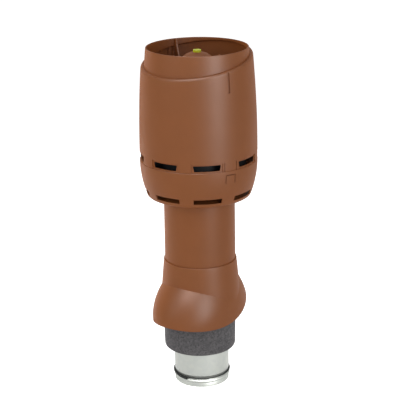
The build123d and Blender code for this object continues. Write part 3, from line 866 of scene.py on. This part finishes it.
def makeSeal():
    seat, body, slant = seal["seatR"], seal["bodyR"], seal["lipSlant"]
    piece = ringPiece("ductSeal", [
        (seat, seal["low"]), (body, seal["low"]), (body + seal["bodyFlare"], seal["lipLow"]),
        (seal["lipR"], seal["lipLow"] + slant), (seal["lipR"], seal["lipHigh"]),
        (seat, seal["lipHigh"] + slant)])
    combine(piece, makeFold(), "UNION", overlapping=True)
    finishPiece(piece, "duct_seal", smallMaterials["epdmRubber"])


makeSeal()


# Camera

def makeCamera():
    bearing = math.radians(shot["bearing"])
    reach = shot["reach"]
    place = Vector((reach * math.sin(bearing), -reach * math.cos(bearing), shot["height"]))
    turn = Matrix.Rotation(math.radians(shot["bearing"] - shot["yaw"]), 4, "Z")
    tip = Matrix.Rotation(math.radians(90 - shot["pitch"]), 4, "X")
    lean = Matrix.Rotation(math.radians(-shot["roll"]), 4, "Z")
    bpy.ops.object.camera_add()
    camera = bpy.context.object
    camera.name = "camera"
    camera.matrix_world = Matrix.Translation(place) @ turn @ tip @ lean
    camera.data.sensor_width = shot["sensor"]
    camera.data.lens = shot["lens"]
    bpy.context.scene.camera = camera
    print("camera placed")


# Lamps: bearing in degrees, place and size in metres, power in watts. The strip and the top
# lamp give the highlights only, the two rims the shading only
lamps = {
    "stripLamp": {"bearing": 74, "reach": 2.4, "height": 1.3, "wide": 0.7, "tall": 2.8, "power": 140,
                  "onlyGloss": True},
    "softLamp": {"bearing": 70, "reach": 2.4, "height": 1.2, "wide": 1.6, "tall": 1.6, "power": 14},
    "topLamp": {"bearing": 10, "reach": 1.3, "height": 3.4, "wide": 2.2, "tall": 2.2, "power": 260,
                "onlyGloss": True},
    "fillLamp": {"bearing": -20, "reach": 2.6, "height": 1.6, "wide": 1.6, "tall": 1.6, "power": 20},
    "rightRim": {"bearing": 165, "reach": 1.8, "height": 0.9, "wide": 0.5, "tall": 1.6, "power": 7,
                 "onlyShade": True},
    "leftRim": {"bearing": -100, "reach": 1.8, "height": 0.9, "wide": 0.5, "tall": 1.6, "power": 26,
                "onlyShade": True},
}
lampAim = 0.45                # height that they all point at


def makeLamps():
    aim = Vector((0, 0, lampAim))
    for name, lamp in lamps.items():
        bearing = math.radians(lamp["bearing"])
        reach = lamp["reach"]
        place = Vector((reach * math.sin(bearing), -reach * math.cos(bearing), lamp["height"]))
        bpy.ops.object.light_add(type="AREA", location=place)
        light = bpy.context.object
        light.name = name
        light.rotation_euler = (aim - place).to_track_quat("-Z", "Y").to_euler()
        light.data.shape = "RECTANGLE"
        light.data.size = lamp["wide"]
        light.data.size_y = lamp["tall"]
        light.data.energy = lamp["power"]
        light.visible_diffuse = not lamp.get("onlyGloss", False)
        light.visible_glossy = not lamp.get("onlyShade", False)
    print("lamps lit:", len(lamps))


# Pale floor and soft surroundings
stage = {
    "floorSize": 14.0,        # metres
    "paper": "F4F4F4",
    "paperGlow": 0.62,        # what the paper lacks to look white
    "ambient": 0.5,
    "white": (1, 1, 1, 1),
}


# 1 for rays from the camera, from reflections and through clear parts, else 0
def seenBy(tree):
    path = addNode(tree, "ShaderNodeLightPath")
    seen = addNode(tree, "ShaderNodeMath", {"operation": "MAXIMUM"},
                   {0: path.outputs["Is Camera Ray"], 1: path.outputs["Is Glossy Ray"]})
    seen = addNode(tree, "ShaderNodeMath", {"operation": "MAXIMUM"},
                   {0: seen.outputs[0], 1: path.outputs["Is Transmission Ray"]})
    return seen.outputs[0]


# White paper sweep: the camera and reflections see it white, and it still takes the shadow
def whitePaper():
    material, tree = newMaterial("whitePaper")
    paper = addNode(tree, "ShaderNodeBsdfDiffuse", {"Color": linear(stage["paper"])})
    glow = addNode(tree, "ShaderNodeEmission", {"Color": stage["white"], "Strength": stage["paperGlow"]})
    both = addNode(tree, "ShaderNodeAddShader", links={0: paper.outputs[0], 1: glow.outputs[0]})
    pick = addNode(tree, "ShaderNodeMixShader", links={
        0: seenBy(tree), 1: paper.outputs[0], 2: both.outputs[0]})
    addNode(tree, "ShaderNodeOutputMaterial", links={"Surface": pick.outputs[0]})
    return material


def makeStage():
    world = bpy.data.worlds.new("studio")
    bpy.context.scene.world = world
    world.use_nodes = True
    tree = world.node_tree
    tree.nodes.clear()
    soft = addNode(tree, "ShaderNodeBackground", {"Color": stage["white"], "Strength": stage["ambient"]})
    white = addNode(tree, "ShaderNodeBackground", {"Color": stage["white"], "Strength": 1.0})
    mix = addNode(tree, "ShaderNodeMixShader", links={
        0: seenBy(tree), 1: soft.outputs[0], 2: white.outputs[0]})
    addNode(tree, "ShaderNodeOutputWorld", links={"Surface": mix.outputs[0]})
    deselectAll()
    bpy.ops.mesh.primitive_plane_add(size=stage["floorSize"])
    floor = bpy.context.object
    floor.name = "floor"
    floor.data.materials.append(whitePaper())
    print("stage set")


makeCamera()
makeLamps()
makeStage()

# CAD nodes whose shape is right as it is
finishes = {
    "rain_dome": brickPlastic,
    "dome_plug": smallMaterials["yellowPlastic"],
    "air_guide": smallMaterials["blackPlastic"],
    "guide_ring": smallMaterials["epdmRubber"],
    "hood_screws": smallMaterials["zincScrew"],
}
for nodeName, finish in finishes.items():
    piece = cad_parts[nodeName]
    piece.data.materials.clear()
    piece.data.materials.append(finish)
print("CAD nodes finished:", len(finishes))

bpy.context.scene.view_settings.view_transform = "Standard"
